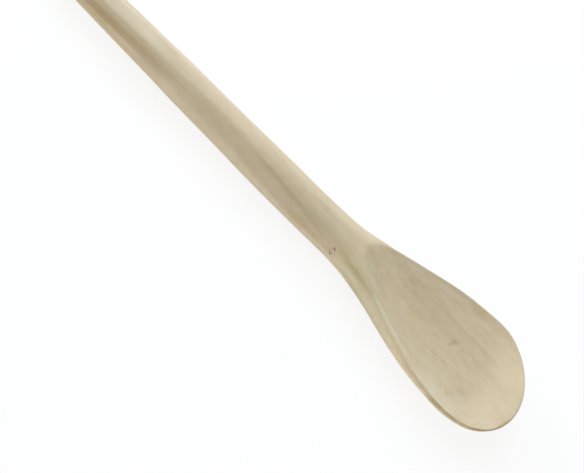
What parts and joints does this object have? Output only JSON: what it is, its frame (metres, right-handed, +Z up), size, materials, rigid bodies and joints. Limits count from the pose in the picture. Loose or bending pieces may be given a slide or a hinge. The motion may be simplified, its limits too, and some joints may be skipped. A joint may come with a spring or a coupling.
{
  "type": "wooden stirring paddle",
  "caption": "Pale wooden stirring paddle: round tapered handle tenoned into a flared neck, held by a cross peg, with an egg-shaped blade whose face is shallowly dished.",
  "frame": {"origin": "on the surface that the paddle lies on, under the middle of its bounding box", "axes": "+X along the handle towards the blade's tip, +Y across the blade, +Z up out of the dished face"},
  "size_m": [0.457, 0.1, 0.0315],
  "materials": {
    "handle_wood": "bare wood sanded to a satin finish, fine grain along the handle",
    "blade_wood": "bare wood sanded to a satin finish, fine grain along the blade, soft blotches",
    "peg_wood": "wooden dowel a little darker than the neck, end grain showing, sanded flush"
  },
  "bodies": {
    "root": {"handle": "handle_wood", "blade": "blade_wood", "cross_peg": "peg_wood"}
  },
  "joints": []
}
